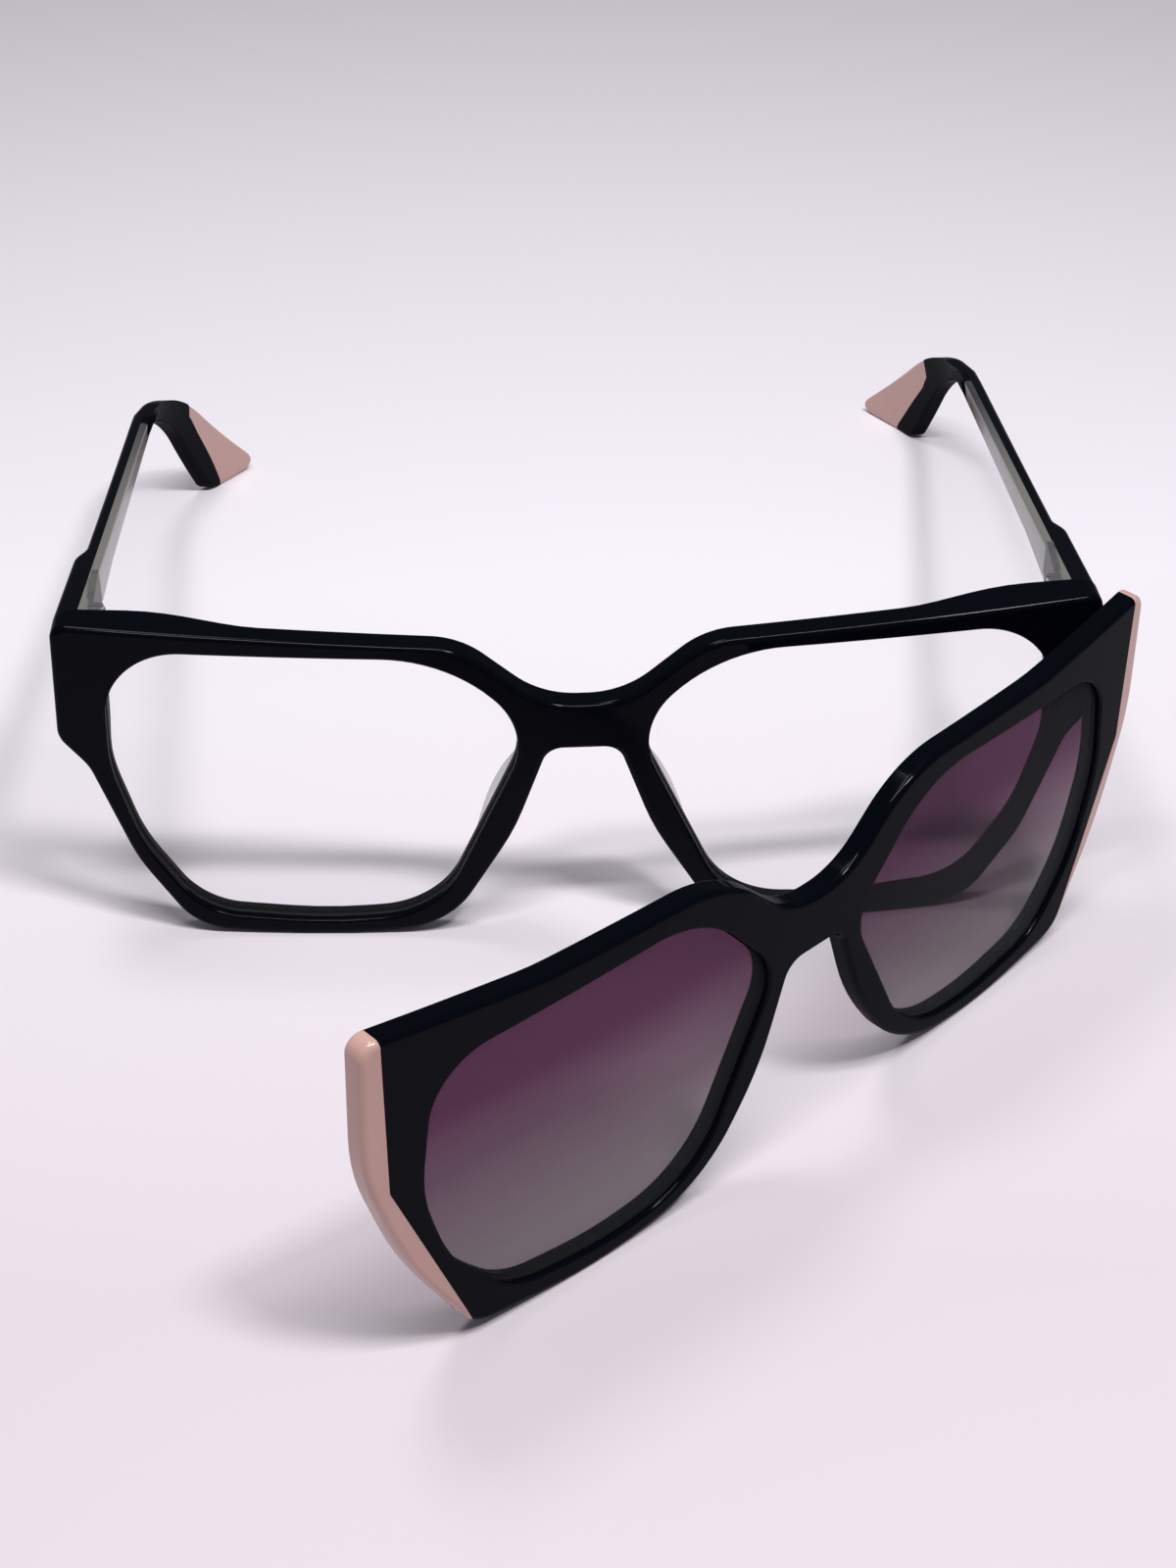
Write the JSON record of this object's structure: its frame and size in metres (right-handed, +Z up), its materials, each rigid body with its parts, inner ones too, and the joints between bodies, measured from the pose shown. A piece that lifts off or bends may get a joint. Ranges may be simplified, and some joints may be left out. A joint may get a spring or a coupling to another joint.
{
  "type": "eyeglasses with clip-on sun front",
  "caption": "Black acetate eyeglasses with folding temples, standing open, and a separate tinted clip-on front with pale pink corners.",
  "frame": {"origin": "middle of the footprint of the whole, at the height of the surface it stands on", "axes": "+X across the front, to the right of someone facing it; +Y from the front towards the temple tips; +Z up"},
  "size_m": [0.1532, 0.2476, 0.0523],
  "materials": {
    "black_acetate": "polished black cellulose acetate",
    "grey_acetate": "polished grey translucent acetate",
    "pink_acetate": "polished pale pink marbled acetate",
    "clear_acetate": "clear pale grey acetate",
    "clear_lens": "clear demonstration lens",
    "tinted_lens": "lens tinted purple at the top, grey at the bottom",
    "hinge_metal": "nickel silver",
    "screw_metal": "steel",
    "core_metal": "nickel silver wire",
    "magnet_metal": "plated magnet"
  },
  "bodies": {
    "frame": {"front_frame": "black_acetate", "demo_lens_left": "clear_lens", "demo_lens_right": "clear_lens", "nose_pad_left": "clear_acetate", "nose_pad_right": "clear_acetate", "front_magnet_left": "magnet_metal", "front_magnet_right": "magnet_metal", "front_hinge_left": "hinge_metal", "front_hinge_right": "hinge_metal", "hinge_screw_left": "screw_metal", "hinge_screw_right": "screw_metal"},
    "left_temple": {"temple_hinge_left": "hinge_metal", "temple_left": "black_acetate", "core_wire_left": "core_metal", "temple_lining_left": "grey_acetate", "tip_facing_left": "black_acetate", "tip_inlay_left": "pink_acetate"},
    "right_temple": {"temple_hinge_right": "hinge_metal", "temple_right": "black_acetate", "core_wire_right": "core_metal", "temple_lining_right": "grey_acetate", "tip_facing_right": "black_acetate", "tip_inlay_right": "pink_acetate"},
    "clip": {"clip_frame": "black_acetate", "clip_corner_left": "pink_acetate", "clip_corner_right": "pink_acetate", "clip_lens_left": "tinted_lens", "clip_lens_right": "tinted_lens", "clip_magnet_left": "magnet_metal", "clip_magnet_right": "magnet_metal"}
  },
  "joints": [
    {"name": "left_temple_fold", "type": "hinge", "parent": "frame", "child": "left_temple", "pos_m": [-0.06956, -0.02849, 0.0473], "axis": [0, 0, 1], "range_deg": [-80, 0]},
    {"name": "right_temple_fold", "type": "hinge", "parent": "frame", "child": "right_temple", "pos_m": [0.06265, -0.02849, 0.0473], "axis": [0, 0, 1], "range_deg": [0, 90]},
    {"name": "clip_place", "type": "hinge", "parent": "frame", "child": "clip", "pos_m": [0.06464, -0.02609, 0.025], "axis": [0, 0, 1], "range_deg": [-39.9, 0]}
  ]
}
